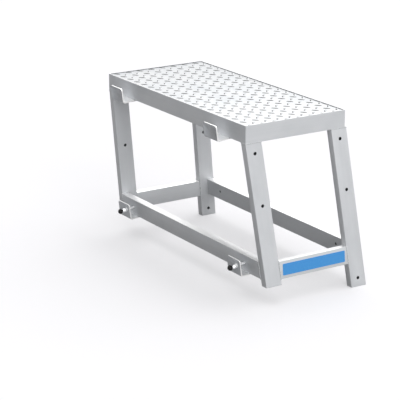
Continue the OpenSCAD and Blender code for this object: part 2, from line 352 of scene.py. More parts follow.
class Surface:
    """A surface in the making: its colour so far, and the material that it becomes.

    Attributes:
        material: The material.
        tree: Its node tree.
        turn: Turn from the X axis to the direction of its patterns.
        colour: Its colour so far, as a hex colour or a socket.
    """

    def __init__(self, name: str, colour: str, turn: Euler = NO_TURN) -> None:
        """Starts a material of one colour.

        Args:
            name: The material's name.
            colour: Hex colour of the clean surface.
            turn: Turn from the X axis to the direction of its patterns.
        """
        self.material = bpy.data.materials.new(name)
        self.material.use_nodes = True
        self.tree = self.material.node_tree
        self.tree.nodes.clear()
        self.turn = turn
        self.colour: Colour = colour

    def spots(self, pattern: Pattern) -> bpy.types.NodeSocket:
        """Adds a pattern on object coordinates.

        Args:
            pattern: The pattern.

        Returns:
            Its strength, from 0 to 1.
        """
        coords = add_node(self.tree, "ShaderNodeTexCoord")
        space = add_node(
            self.tree, "ShaderNodeMapping",
            {"vector_type": "TEXTURE", "Rotation": self.turn, "Scale": pattern.size},
            {"Vector": coords.outputs["Object"]},
        )
        noise = add_node(
            self.tree, "ShaderNodeTexNoise",
            {"Scale": 1.0, "Detail": pattern.detail, "Roughness": pattern.fineness},
            {"Vector": space.outputs["Vector"]},
        )
        return noise.outputs["Fac"]

    def facing(self) -> bpy.types.NodeOutputs:
        """Adds the direction that a face looks in, whatever its bumps.

        Returns:
            The direction's parts X, Y and Z, by name.
        """
        face = add_node(self.tree, "ShaderNodeNewGeometry")
        parts = add_node(
            self.tree, "ShaderNodeSeparateXYZ", links={0: face.outputs["True Normal"]}
        )
        return parts.outputs

    def lay(self, stain: Stain, where: bpy.types.NodeSocket) -> bpy.types.NodeSocket:
        """Lays a stain over the surface.

        Args:
            stain: The stain.
            where: Strength of what brings it, from 0 to 1.

        Returns:
            The share of its colour that shows.
        """
        amount = add_node(
            self.tree, "ShaderNodeMapRange",
            {
                "From Min": stain.start, "From Max": stain.stop,
                "To Min": 0.0, "To Max": stain.most,
            },
            {"Value": where},
        ).outputs["Result"]
        settings = {"data_type": "RGBA", MIX_SECOND: linear(stain.colour)}
        links = {"Factor": amount}
        if isinstance(self.colour, str):
            settings[MIX_FIRST] = linear(self.colour)
        else:
            links[MIX_FIRST] = self.colour
        self.colour = add_node(self.tree, "ShaderNodeMix", settings, links).outputs[MIX_RESULT]
        return amount

    def finished(self, values: dict[str, object], *reliefs: Relief) -> bpy.types.Material:
        """Gives the surface its gloss and its relief, and ends the material.

        Args:
            values: Plain values and ramps of the shader's inputs, by name.
            reliefs: Its reliefs, the lowest first.

        Returns:
            The material.
        """
        plain = {}
        links = {"Base Color": self.colour}
        for name, value in values.items():
            # A plain value is set on the shader itself
            if not isinstance(value, Ramp):
                plain[name] = value
                continue
            ramp = add_node(
                self.tree, "ShaderNodeMapRange",
                {
                    "From Min": value.start, "From Max": value.stop,
                    "To Min": value.low, "To Max": value.high,
                },
                {"Value": value.where},
            )
            links[name] = ramp.outputs["Result"]
        for relief in reliefs:
            below = {"Normal": links["Normal"]} if "Normal" in links else {}
            bump = add_node(
                self.tree, "ShaderNodeBump",
                {"Strength": relief.visible, "Distance": relief.height},
                {"Height": relief.where, **below},
            )
            links["Normal"] = bump.outputs["Normal"]
        shader = add_node(self.tree, "ShaderNodeBsdfPrincipled", plain, links)
        add_node(
            self.tree, "ShaderNodeOutputMaterial", links={"Surface": shader.outputs["BSDF"]}
        )
        return self.material


@dataclass(frozen=True)
class MillAluminium:
    """Aluminium tube as it leaves the die, seldom cleaned and never painted."""

    # To the eye it is a pale satin skin with faint lines along each tube
    name: str
    grain: Grain
    pale: str = "#DADCDF"
    dull: Stain = Stain("#D2D5D8", 0.4)
    grime: Stain = Stain("#C0C4C7", 0.3, 0.45, 0.8)
    scuffed: Stain = Stain("#EEF0F2", 0.3, 0.66, 0.76)
    # Painted highlight: upward faces are painted near white and made more metallic, as light from
    # above falls on them
    top_sheen: Optional[Stain] = Stain("#FDFDFD", 0.85, 0.8, 0.95)
    metallic: float = 0.08
    sheen_metallic: float = 0.95
    roughness: float = 0.42
    smoother: float = 0.07
    rougher: float = 0.09
    # Draw lines a millimetre wide and a quarter metre long, as a worn die leaves them
    lines: Pattern = Pattern((0.26, 0.0012, 0.0012), 3.0, 0.6)
    # Bands of duller skin 12 mm wide, where the die ran hot
    bands: Pattern = Pattern((0.8, 0.012, 0.012), 1.0)
    # Patches about 90 mm across, where hands and rain have dulled the skin
    patches: Pattern = Pattern((0.14, 0.09, 0.09), 3.0, 0.55)
    # Scuffs of 14 mm across the tube, from stacking the units
    scuffs: Pattern = Pattern((0.003, 0.014, 0.003), 4.0, 0.7)
    height: float = 0.00004
    line_share: float = 0.5
    scuff_share: float = 0.25

    def material(self) -> bpy.types.Material:
        """Builds the material with its draw lines, dull patches, handling marks and a painted
        highlight on upward faces.

        Returns:
            The material.
        """
        surface = Surface(self.name, self.pale, LAYOUT.grain_turn(self.grain))
        lines = surface.spots(self.lines)
        scuffs = surface.spots(self.scuffs)
        surface.lay(self.dull, surface.spots(self.bands))
        surface.lay(self.grime, surface.spots(self.patches))
        surface.lay(self.scuffed, scuffs)
        metallic_with_sheen: object = self.metallic
        # Painted highlight: upward faces turn near white and more metallic
        if self.top_sheen is not None:
            wear_and_top_sheen = surface.lay(self.top_sheen, surface.facing()["Z"])
            metallic_with_sheen = Ramp(wear_and_top_sheen, self.metallic, self.sheen_metallic, 0.0, 1.0)
        gloss = Ramp(lines, self.roughness - self.smoother, self.roughness + self.rougher)
        return surface.finished(
            {"Metallic": metallic_with_sheen, "Roughness": gloss},
            Relief(lines, self.height, self.line_share),
            Relief(scuffs, self.height, self.scuff_share),
        )


@dataclass(frozen=True)
class RolledPlate:
    """Aluminium plate, cut and bent, with faint rolling lines."""

    # To the eye it is a shade darker than the tubes, with painted highlights on its cut edges along
    # X and on its upward faces
    name: str = "rolled aluminium plate"
    pale: str = "#CBCED2"
    dull: Stain = Stain("#BCC0C5")
    nicked: Stain = Stain("#F2F2F3", 0.4, 0.64, 0.76)
    # Painted highlight: the cut edges that look along X are painted white; edges that face other
    # ways are not
    sheared: Stain = Stain("#FFFFFF", 1.0, 0.6, 0.9)
    # Painted highlight: upward faces are painted near white and made more metallic, as light from
    # above falls on them
    polished: Stain = Stain("#FDFDFD", 1.0, 0.5, 0.8)
    metallic: float = 0.08
    sheen_metallic: float = 0.9
    roughness: float = 0.38
    smoother: float = 0.08
    rougher: float = 0.1
    # Rolling lines are drawn 1.5 mm wide, wider than real, so that they show
    lines: Pattern = Pattern((0.08, 0.0015, 0.0015), 3.0, 0.6)
    # Prints of the bending press, 30 mm across
    prints: Pattern = Pattern((0.03, 0.03, 0.03))
    # Nicks of 3 mm, from one unit's plates on the next one's rails
    nicks: Pattern = Pattern((0.003, 0.003, 0.003), 3.0, 0.7)
    height: float = 0.00005
    line_share: float = 0.5

    def material(self) -> bpy.types.Material:
        """Builds the material with rolling lines, press prints and painted highlights on the edges
        along X and the upward faces.

        Returns:
            The material.
        """
        surface = Surface(self.name, self.pale)
        lines = surface.spots(self.lines)
        surface.lay(self.dull, surface.spots(self.prints))
        surface.lay(self.nicked, surface.spots(self.nicks))
        facing = surface.facing()
        # Painted highlight on the faces that look along X
        ends = add_node(
            surface.tree, "ShaderNodeMath", {"operation": "ABSOLUTE"}, {0: facing["X"]}
        )
        surface.lay(self.sheared, ends.outputs[0])
        # Painted highlight on the upward faces
        wear_and_top_sheen = surface.lay(self.polished, facing["Z"])
        metallic_with_sheen = Ramp(wear_and_top_sheen, self.metallic, self.sheen_metallic, 0.0, 1.0)
        gloss = Ramp(lines, self.roughness - self.smoother, self.roughness + self.rougher)
        return surface.finished(
            {"Metallic": metallic_with_sheen, "Roughness": gloss}, Relief(lines, self.height, self.line_share)
        )


@dataclass(frozen=True)
class TreadSheet:
    """Rolled aluminium tread plate between its bars."""

    # To the eye it is the brightest sheet of the unit, with soft clouds of wear
    name: str = "aluminium tread sheet"
    pale: str = "#EEEFF1"
    dull: Stain = Stain("#DDE0E3", 1.0, 0.35, 0.7)
    scuffed: Stain = Stain("#D2D5D8", 0.35, 0.62, 0.76)
    metallic: float = 0.15
    roughness: float = 0.36
    smoother: float = 0.06
    rougher: float = 0.12
    # Clouds of wear about 120 mm across, as a boot leaves them
    clouds: Pattern = Pattern((0.12, 0.12, 0.12), 3.0, 0.6)
    # Scuffs of 22 mm that cross the deck from front to back
    scuffs: Pattern = Pattern((0.003, 0.022, 0.003), 3.0, 0.65)
    height: float = 0.00005
    scuff_share: float = 0.3

    def material(self) -> bpy.types.Material:
        """Builds the material with wide cloudy wear and short boot scuffs.

        Returns:
            The material.
        """
        surface = Surface(self.name, self.pale)
        clouds = surface.spots(self.clouds)
        scuffs = surface.spots(self.scuffs)
        surface.lay(self.dull, clouds)
        surface.lay(self.scuffed, scuffs)
        gloss = Ramp(clouds, self.roughness - self.smoother, self.roughness + self.rougher)
        return surface.finished(
            {"Metallic": self.metallic, "Roughness": gloss},
            Relief(scuffs, self.height, self.scuff_share),
        )


@dataclass(frozen=True)
class TreadBars:
    """Raised bars of the rolled tread plate."""

    # To the eye they are rubbed grey crowns, with painted shade on the flanks that face the front
    name: str = "aluminium tread bars"
    crown: str = "#DCDEE0"
    wear_and_top_sheen: Stain = Stain("#BEC1C4")
    # Painted shade: the flanks that face the front are painted near black, as shade falls on them
    packed: Stain = Stain("#121314", 1.0, 0.09, 0.16)
    shade_side: Size = (0.3, -0.95, 0.0)
    metallic: float = 0.1
    roughness: float = 0.36
    smoother: float = 0.08
    rougher: float = 0.12
    # Rubbed spots of 4 mm
    rubs: Pattern = Pattern((0.004, 0.004, 0.004), 3.0, 0.6)

    def material(self) -> bpy.types.Material:
        """Builds the material, with painted shade on the flanks that face the front.

        Returns:
            The material.
        """
        surface = Surface(self.name, self.crown)
        rubs = surface.spots(self.rubs)
        surface.lay(self.wear_and_top_sheen, rubs)
        face = add_node(surface.tree, "ShaderNodeNewGeometry")
        toward = add_node(
            surface.tree, "ShaderNodeVectorMath",
            {"operation": "DOT_PRODUCT", 1: self.shade_side}, {0: face.outputs["Normal"]},
        )
        # Painted shade on the flanks that face the front
        surface.lay(self.packed, toward.outputs["Value"])
        gloss = Ramp(rubs, self.roughness - self.smoother, self.roughness + self.rougher)
        return surface.finished({"Metallic": self.metallic, "Roughness": gloss})


@dataclass(frozen=True)
class WeldMetal:
    """Aluminium weld bead, as it cools under gas."""

    # To the eye it is pale and silky, with a trace of soot at its toes
    name: str = "aluminium weld metal"
    pale: str = "#D2D4D6"
    soot: Stain = Stain("#8C8F92", 0.8, 0.5, 0.75)
    metallic: float = 0.1
    roughness: float = 0.36
    smoother: float = 0.05
    rougher: float = 0.15
    # Soot in patches of 6 mm
    toes: Pattern = Pattern((0.006, 0.006, 0.006), 3.0, 0.6)

    def material(self) -> bpy.types.Material:
        """Builds the material with soot in patches of a few millimetres.

        Returns:
            The material.
        """
        surface = Surface(self.name, self.pale)
        toes = surface.spots(self.toes)
        surface.lay(self.soot, toes)
        gloss = Ramp(toes, self.roughness - self.smoother, self.roughness + self.rougher)
        return surface.finished({"Metallic": self.metallic, "Roughness": gloss})


@dataclass(frozen=True)
class TurnedSteel:
    """Steel turned on a lathe, zinc plated or polished."""

    # To the eye it is the smoothest metal of the unit, with a hard narrow shine
    name: str
    pale: str
    tarnish: Stain
    metallic: float
    roughness: float
    smoother: float = 0.05
    rougher: float = 0.07
    # Tarnish in specks of 2 mm
    specks: Pattern = Pattern((0.002, 0.002, 0.002), 3.0, 0.6)
    # Turning marks are drawn 0.6 mm apart, wider than real, so that they show
    marks: Pattern = Pattern((0.02, 0.0006, 0.02))
    height: float = 0.00002
    mark_share: float = 0.4

    def material(self) -> bpy.types.Material:
        """Builds the material with fine turning marks and a slight tarnish.

        Returns:
            The material.
        """
        surface = Surface(self.name, self.pale)
        marks = surface.spots(self.marks)
        surface.lay(self.tarnish, surface.spots(self.specks))
        gloss = Ramp(marks, self.roughness - self.smoother, self.roughness + self.rougher)
        return surface.finished(
            {"Metallic": self.metallic, "Roughness": gloss},
            Relief(marks, self.height, self.mark_share),
        )


@dataclass(frozen=True)
class Moulded:
    """Moulded plastic or rubber."""

    # To the eye it is one even colour, with a fine skin and spots that hands have rubbed
    name: str
    colour: str
    wear_and_top_sheen: Stain
    roughness: float
    rougher: float = 0.12
    coat: float = 0.0
    coat_roughness: float = 0.06
    specular: float = 0.5
    # Grain of 1.2 mm from the mould
    grain: Pattern = Pattern((0.0012, 0.0012, 0.0012))
    # Rubbed spots of 9 mm
    spots: Pattern = Pattern((0.009, 0.009, 0.009), 3.0, 0.6)
    height: float = 0.00003
    grain_share: float = 0.3

    def material(self) -> bpy.types.Material:
        """Builds the material with its skin's grain and worn spots.

        Returns:
            The material.
        """
        surface = Surface(self.name, self.colour)
        spots = surface.spots(self.spots)
        surface.lay(self.wear_and_top_sheen, spots)
        return surface.finished(
            {
                "Roughness": Ramp(spots, self.roughness, self.roughness + self.rougher),
                "Specular IOR Level": self.specular,
                "Coat Weight": self.coat,
                "Coat Roughness": self.coat_roughness,
            },
            Relief(surface.spots(self.grain), self.height, self.grain_share),
        )


Finish = Union[
    MillAluminium, RolledPlate, TreadSheet, TreadBars, WeldMetal, TurnedSteel, Moulded
]

# The finishes that the pieces share
TUBES = {grain: MillAluminium(f"mill aluminium tube {grain.value}", grain) for grain in Grain}
# Painted shade: a dark aluminium for the faces inside the tubes and their holes and in the corner
# between the tread plate and its rim, where shade falls
CAVITY_SHADE = MillAluminium(
    "mill aluminium with painted shade", Grain.ALONG_X, "#5E6266", Stain("#4E5255", 0.4),
    Stain("#3F4245", 0.3, 0.45, 0.8), top_sheen=None,
)
ZINC = TurnedSteel("zinc plated steel", "#FBFCFC", Stain("#E6E8EA", 0.8), 0.35, 0.25)
BRIGHT = TurnedSteel("polished steel", "#F4F5F6", Stain("#DADCDE", 0.8), 0.8, 0.12)
KNOB = Moulded(
    "glossy black nylon", "#050506", Stain("#0C0C0D", 0.8, 0.45, 0.8), 0.3, specular=0.25
)
RING = Moulded("black nitrile rubber", "#141414", Stain("#242424", 0.8, 0.45, 0.8), 0.6)
PLUG = Moulded("dark grey polypropylene", "#2E3032", Stain("#4A4C4E", 0.8, 0.45, 0.8), 0.5)
# The vinyl is blank; its sun-faded spots are a shade paler
VINYL = Moulded(
    "blue vinyl sheet", "#3F98E0", Stain("#4C9FE3", 0.8, 0.45, 0.8), 0.35, coat=0.2,
    grain=Pattern((0.02, 0.02, 0.02)),
)


@cache
def material_of(finish: Finish) -> bpy.types.Material:
    """Builds a finish's material once, for every piece that has it."""
    return finish.material()


def finish_piece(
    name: str, mesh_work: bmesh.types.BMesh, finish: Finish, body: str,
    replaced: Iterable[str] = (), sharp: float = math.radians(32), recalc: bool = True,
    extra: Optional[Finish] = None,
) -> bpy.types.Object:
    """Turns a bmesh into a piece that rides a body.

    Args:
        name: The piece's name.
        mesh_work: The finished bmesh, in the unit's frame; it is freed here.
        finish: Its finish.
        body: Body that it rides on.
        replaced: CAD nodes that it stands for.
        sharp: Angle from which an edge stays sharp.
        recalc: Whether the faces are turned outwards again.
        extra: Second finish, for the faces that carry its number.

    Returns:
        The new object.
    """
    if recalc:
        bmesh.ops.recalc_face_normals(mesh_work, faces=mesh_work.faces[:])
    mesh = bpy.data.meshes.new(name)
    mesh_work.to_mesh(mesh)
    mesh_work.free()
    mesh.materials.append(material_of(finish))
    if extra is not None:
        mesh.materials.append(material_of(extra))
    mesh.shade_smooth()
    mesh.set_sharp_from_angle(angle=sharp)
    piece = bpy.data.objects.new(name, mesh)
    bpy.context.scene.collection.objects.link(piece)
    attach(piece, body)
    nodes = list(replaced)
    if nodes:
        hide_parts(*nodes)
    log.info("%s: %d faces, rides %s", name, len(mesh.polygons), body)
    return piece


def refinish(node: str, finish: Finish) -> None:
    """Gives a CAD node that stays a better finish.

    Args:
        node: Name of the node.
        finish: Its new finish.
    """
    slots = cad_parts[node].data.materials
    slots.clear()
    slots.append(material_of(finish))


def solid_of(node: str) -> bmesh.types.BMesh:
    """Copies a CAD node's solid, with its triangles merged into plain faces.

    Args:
        node: Name of the node.

    Returns:
        A bmesh in the unit's frame.
    """
    work = bmesh.new()
    work.from_mesh(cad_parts[node].data)
    bmesh.ops.remove_doubles(work, verts=work.verts[:], dist=SOLID_MERGE)
    bmesh.ops.dissolve_limit(
        work, angle_limit=FLAT_ANGLE, verts=work.verts[:], edges=work.edges[:]
    )
    return work


def soften(
    work: bmesh.types.BMesh, radius: float, shortest: float = 0.0, segments: int = 3,
    wanted: Optional[Callable[[bmesh.types.BMEdge], bool]] = None,
    least_turn: float = math.radians(40),
) -> None:
    """Rounds the outer edges of a solid.

    Args:
        work: The solid.
        radius: Radius of the rounding, in metres.
        shortest: Edges shorter than this stay as they are.
        segments: Steps of the rounding.
        wanted: Further test that an edge must pass.
        least_turn: Edges that turn by less than this stay as they are.
    """
    edges = [
        e for e in work.edges
        if len(e.link_faces) == 2 and e.is_convex
        and e.calc_face_angle(0.0) > least_turn
        and e.calc_length() >= shortest
        and (wanted is None or wanted(e))
    ]
    bmesh.ops.bevel(
        work, geom=edges, offset=radius, offset_type="OFFSET", affect="EDGES",
        segments=segments, profile=0.5, material=-1, clamp_overlap=True,
    )


def mark_cavity(
    work: bmesh.types.BMesh, reach: float = 0.08, lift: float = 0.00005
) -> None:
    """Gives the second material, painted shade, to the faces inside a tube and in its holes.

    Args:
        work: The tube, with its faces outwards.
        reach: Distance within which an inner face looks at the opposite wall.
        lift: Height above a face from which it is tested, so that it doesn't see itself.
    """
    work.normal_update()
    tree = BVHTree.FromBMesh(work)
    for face in work.faces:
        start = face.calc_center_median() + face.normal * lift
        if tree.ray_cast(start, face.normal, reach)[0] is not None:
            face.material_index = SECOND


def joined(parts: Iterable[bmesh.types.BMesh]) -> bmesh.types.BMesh:
    """Joins small bmeshes, which are quicker to build one by one than in a large one.

    Args:
        parts: The small bmeshes; they are freed here.

    Returns:
        One bmesh with all of them.
    """
    whole = bmesh.new()
    for part in parts:
        carrier = bpy.data.meshes.new("carrier")
        part.to_mesh(carrier)
        part.free()
        whole.from_mesh(carrier)
        bpy.data.meshes.remove(carrier)
    return whole


def turned(outline: Outline, place: Matrix, steps: int) -> bmesh.types.BMesh:
    """Spins an outline round its axis, as a lathe does.

    Args:
        outline: Radius and height of each corner, in metres.
        place: Matrix that puts the axis in the unit's frame.
        steps: Steps of the full turn.

    Returns:
        A bmesh in the unit's frame.
    """
    work = bmesh.new()
    corners = [work.verts.new((radius, 0.0, height)) for radius, height in outline]
    edges = [work.edges.new(pair) for pair in zip(corners, corners[1:])]
    bmesh.ops.spin(
        work, geom=corners + edges, cent=(0, 0, 0), axis=(0, 0, 1), angle=2 * math.pi,
        steps=steps, use_merge=True,
    )
    bmesh.ops.remove_doubles(work, verts=work.verts[:], dist=TURNED_MERGE)
    bmesh.ops.transform(work, matrix=place, verts=work.verts[:])
    return work


@dataclass
class Deck:
    """The tread plate on its frame of four mitred rails and two bearers."""

    pitch: float = 0.0543
    bar_length: float = 0.031
    bar_width: float = 0.0106
    bar_height: float = 0.0018
    bar_turn: float = math.radians(45)
    bar_sides: int = 10
    bar_rings: int = 6
    # Depth to which the domes of the bars run into the sheet
    bar_foot: float = 0.0003
    side_margin: float = 0.0156
    front_margin: float = 0.031
    edge_radius: float = 0.0006
    rail_radius: float = 0.0014
    rim_radius: float = 0.0005
    # Edges shorter than this are the mitres and stay sharp
    shortest_edge: float = 0.3

    def on_rim(self, edge: bmesh.types.BMEdge) -> bool:
        """Tells whether an edge belongs to the thin rim round the tread plate."""
        return all(v.co.z > LAYOUT.plate_top - LAYOUT.sheet - SLACK for v in edge.verts)

    def in_corner(self, face: bmesh.types.BMFace) -> bool:
        """Tells whether a rail's face looks over the tread plate, in the corner where shade is
        painted.

        Args:
            face: Face of a deck rail.

        Returns:
            Whether it stands in the corner between the rim and the plate.
        """
        spot = face.calc_center_median()
        edge = LAYOUT.rim - SLACK
        return (
            spot.z > LAYOUT.plate_top - LAYOUT.sheet
            and abs(spot.x) < LAYOUT.deck_length / 2 - edge
            and LAYOUT.front_edge + edge < spot.y < LAYOUT.back_edge - edge
        )

    def sheet(self) -> None:
        """Makes the flat sheet under the bars."""
        work = bmesh.new()
        middle = Vector((
            0, LAYOUT.front_edge + LAYOUT.deck_width / 2, LAYOUT.plate_top - LAYOUT.sheet / 2
        ))
        size = Matrix.Diagonal((
            LAYOUT.deck_length - 2 * LAYOUT.rim, LAYOUT.deck_width - 2 * LAYOUT.rim, LAYOUT.sheet, 1
        ))
        bmesh.ops.create_cube(work, size=1.0, matrix=Matrix.Translation(middle) @ size)
        soften(work, self.edge_radius)
        finish_piece("tread_sheet", work, TreadSheet(), FRAME_BODY,
                     ["tread_plate"])

    def bar_row(self, number: int) -> bmesh.types.BMesh:
        """Makes one row of bars, cut off at the rim.

        Args:
            number: Number of half pitches from the first row.

        Returns:
            A bmesh with the bars of the row.
        """
        work = bmesh.new()
        half = self.pitch / 2
        left, front = -LAYOUT.deck_length / 2, LAYOUT.front_edge
        shape = Matrix.Diagonal((self.bar_length / 2, self.bar_width / 2, self.bar_height, 1))
        turn = Matrix.Rotation(-self.bar_turn if number % 2 else self.bar_turn, 4, "Z")
        # Bars of one row stand a whole pitch apart, those of the next row between them, and
        # the first and the last lie past the rim, which cuts them off
        for i in range(-1, math.ceil(LAYOUT.deck_length / half) + 2):
            if (i + number) % 2:
                continue
            spot = Matrix.Translation((
                left + self.side_margin + i * half, front + self.front_margin + number * half,
                LAYOUT.plate_top,
            ))
            bmesh.ops.create_uvsphere(
                work, u_segments=self.bar_sides, v_segments=self.bar_rings, radius=1.0,
                matrix=spot @ turn @ shape,
            )
        rim = LAYOUT.rim
        walls = (
            ((left + rim, 0, 0), (-1, 0, 0)),
            ((-left - rim, 0, 0), (1, 0, 0)),
            ((0, front + rim, 0), (0, -1, 0)),
            ((0, front + LAYOUT.deck_width - rim, 0), (0, 1, 0)),
            ((0, 0, LAYOUT.plate_top - self.bar_foot), (0, 0, -1)),
        )
        for point, normal in walls:
            cut = bmesh.ops.bisect_plane(
                work, geom=work.verts[:] + work.edges[:] + work.faces[:], dist=CUT_MERGE,
                plane_co=point, plane_no=normal, clear_outer=True,
            )
            edge_loops = [g for g in cut["geom_cut"] if isinstance(g, bmesh.types.BMEdge)]
            if edge_loops:
                bmesh.ops.edgeloop_fill(work, edges=edge_loops)
        return work

    def bars(self) -> None:
        """Makes the raised bars, which turn a quarter from one to the next."""
        # The first and the last row lie past the rim too
        rows = range(-1, math.ceil(LAYOUT.deck_width / (self.pitch / 2)) + 2)
        work = joined(self.bar_row(number) for number in rows)
        finish_piece("tread_bars", work, TreadBars(), FRAME_BODY,
                     sharp=math.radians(60))

    def rails(self) -> None:
        """Rounds the long edges of the deck rails and the bearers."""
        for word, grain in RAIL_GRAINS:
            node = f"{word}_deck_rail"
            work = solid_of(node)
            soften(work, self.rim_radius, self.shortest_edge, wanted=self.on_rim)
            soften(work, self.rail_radius, self.shortest_edge,
                   wanted=lambda e: not self.on_rim(e))
            # Faces in the corner over the tread plate get painted shade
            for face in work.faces:
                if self.in_corner(face):
                    face.material_index = SECOND
            finish_piece(f"{node}_tube", work, TUBES[grain], FRAME_BODY,
                         [node], extra=CAVITY_SHADE)
        for side in Side:
            node = f"{side.word}_bearer"
            work = solid_of(node)
            soften(work, self.rail_radius, self.shortest_edge)
            finish_piece(f"{node}_tube", work, TUBES[Grain.ALONG_Y], FRAME_BODY,
                         [node])

    def build(self) -> None:
        """Makes the deck."""
        self.sheet()
        self.bars()
        self.rails()


@dataclass
class Undercarriage:
    """The four legs with their plugs, the four lower rails and the blank marking plate."""

    tube_radius: float = 0.0016
    # Edges shorter than these are left sharp, on a leg and on a rail
    shortest_on_leg: float = 0.02
    shortest_on_rail: float = 0.2
    # The blank marking plate: its corners, its edges, and its thickness with some slack
    marking_corner: float = 0.004
    marking_edge: float = 0.0003
    marking_thin: float = 0.002
    marking_shortest: float = 0.01

    def tube(self, node: str, grain: Grain, shortest: float) -> None:
        """Rounds the edges of one tube and paints shade inside it and in its holes.

        Args:
            node: The tube's CAD node.
            grain: Direction in which it was drawn.
            shortest: Edges shorter than this stay as they are.
        """
        work = solid_of(node)
        soften(work, self.tube_radius, shortest)
        # Faces inside the tube and its holes get painted shade
        mark_cavity(work)
        finish_piece(f"{node}_tube", work, TUBES[grain], FRAME_BODY,
                     [node], extra=CAVITY_SHADE)

    def legs(self) -> None:
        """Rounds the legs' edges and dresses their plugs."""
        for row in Row:
            for side in Side:
                corner = f"{row.value}_{side.word}"
                grain = Grain.LEFT_LEG if side is Side.LEFT else Grain.RIGHT_LEG
                self.tube(f"{corner}_leg", grain, self.shortest_on_leg)
                refinish(f"{corner}_plug", PLUG)

    def rails(self) -> None:
        """Rounds the long edges of the lower rails."""
        for word, grain in RAIL_GRAINS:
            self.tube(f"{word}_lower_rail", grain, self.shortest_on_rail)

    def marking(self) -> None:
        """Rounds the blank marking plate on the right end rail."""
        work = solid_of("marking_plate")
        soften(work, self.marking_corner, wanted=lambda e: e.calc_length() < self.marking_thin)
        soften(work, self.marking_edge, self.marking_shortest)
        finish_piece("marking_sheet", work, VINYL, FRAME_BODY,
                     ["marking_plate"])

    def build(self) -> None:
        """Makes the legs, the lower rails and the marking plate."""
        self.legs()
        self.rails()
        self.marking()


@dataclass
class Couplings:
    """The bent plates that grip the next unit: deck hooks and rail brackets."""

    edge_radius: float = 0.0006

    def build(self) -> None:
        """Softens the cut edges of the four bent plates."""
        for side in Side:
            for word in ("deck_hook", "rail_bracket"):
                node = f"{side.word}_{word}"
                work = solid_of(node)
                soften(work, self.edge_radius, segments=2)
                finish_piece(f"{node}_plate", work, RolledPlate(), FRAME_BODY,
                             [node])


@dataclass
class LockPin:
    """A pull pin with its bush, ferrule and knob, on one bracket.

    The small numbers in its outlines are bevels and steps, in metres.
    """

    side: Side
    pin_radius: float = 0.005
    inside: float = 0.0355
    outside: float = 0.030
    bush_radius: float = 0.0085
    bush_bore: float = 0.0051
    bush_length: float = 0.007
    spigot_radius: float = 0.0071
    # The friction ring's groove in the bush
    groove_radius: float = 0.0071
    groove_low: float = 0.0025
    groove_high: float = 0.0045
    ferrule_start: float = 0.012
    ferrule_length: float = 0.011
    ferrule_radius: float = 0.009
    neck_radius: float = 0.007
    knob_radius: float = 0.011
    knob_length: float = 0.018
    # Share of the knob's length at which it is widest
    belly_share: float = 0.4
    dome_steps: int = 12
    # Play between the pin and what it carries
    play: float = 0.00005

    @property
    def body(self) -> str:
        """Name of the body that the pin is."""
        return f"{self.side.word}_pin"

    @property
    def bush(self) -> Outline:
        """Outline of the guide bush, with its bevelled rim and its spigot.

        Returns:
            Radius and height of each corner.
        """
        rim, bore, top = self.bush_radius, self.bush_bore, self.bush_length
        spigot, groove, foot = self.spigot_radius, self.groove_radius, -LAYOUT.hook_plate
        return [
            (bore, foot), (spigot, foot), (spigot, 0.0), (rim - 0.0004, 0.0),
            (rim, 0.0004), (rim, top - 0.0012), (rim - 0.0012, top), (bore + 0.0005, top),
            (bore, top - 0.0005), (bore, self.groove_high), (groove, self.groove_high),
            (groove, self.groove_low), (bore, self.groove_low), (bore, foot),
        ]

    @property
    def rod(self) -> Outline:
        """Outline of the pin, with its bevelled tip."""
        low, high, r = -self.inside, self.outside, self.pin_radius
        return [
            (0.0, low), (r - 0.0015, low), (r - 0.0001, low + 0.0014), (r, low + 0.0018),
            (r, high - 0.0002), (r - 0.0002, high), (0.0, high),
        ]

    @property
    def ferrule(self) -> Outline:
        """Outline of the bright flared ferrule behind the knob.

        Returns:
            Radius and height of each corner.
        """
        start, flare, neck = self.ferrule_start, self.ferrule_radius, self.neck_radius
        end, hole = start + self.ferrule_length, self.pin_radius + self.play
        return [
            (hole, start), (flare - 0.0008, start), (flare, start + 0.0006),
            (flare - 0.0002, start + 0.0014), (neck + 0.0008, start + 0.005),
            (neck, start + 0.009), (neck, end), (hole, end), (hole, start),
        ]

    @property
    def knob(self) -> Outline:
        """Outline of the domed knob, with a flared neck for the fingers.

        Returns:
            Radius and height of each corner.
        """
        base = self.ferrule_start + self.ferrule_length
        r, neck, hole = self.knob_radius, self.neck_radius, self.pin_radius + self.play
        top, floor = base + self.knob_length, self.outside + SLACK
        belly = base + self.knob_length * self.belly_share
        steps = (math.pi / 2 * k / self.dome_steps for k in range(1, self.dome_steps))
        dome = [(r * math.cos(t), belly + (top - belly) * math.sin(t)) for t in steps]
        return [
            (hole, base), (neck, base), (neck + 0.0008, base + 0.0003),
            (neck + 0.0016, base + 0.0024), (r - 0.0009, belly - 0.002),
            (r - 0.0001, belly - 0.0006), (r, belly), *dome,
            (0.0, top), (0.0, floor), (hole, floor), (hole, base),
        ]

    def build(self) -> None:
        """Turns the pin's pieces on its axis and dresses the friction ring."""
        word = self.side.word
        for name, node, outline, steps, finish, body, slot in (
            ("bush", "guide_bush", self.bush, 48, ZINC, FRAME_BODY, "pin_steel"),
            ("pin", "lock_pin", self.rod, 40, ZINC, self.body, "pin_steel"),
            ("ferrule", "ferrule", self.ferrule, 48, BRIGHT, self.body, "bright_steel"),
            ("knob", "pull_knob", self.knob, 56, KNOB, self.body, "knob_plastic"),
        ):
            work = turned(outline, LAYOUT.pin_frame(self.side), steps)
            finish_piece(f"{word}_{name}_turned", work, finish, body, [f"{word}_{node}"])
        refinish(f"{word}_friction_ring", RING)


def ring_of(corners: list[Vector]) -> list[Seam]:
    """Gives the seams from each corner to the next, and from the last to the first."""
    return list(zip(corners, corners[1:] + corners[:1]))


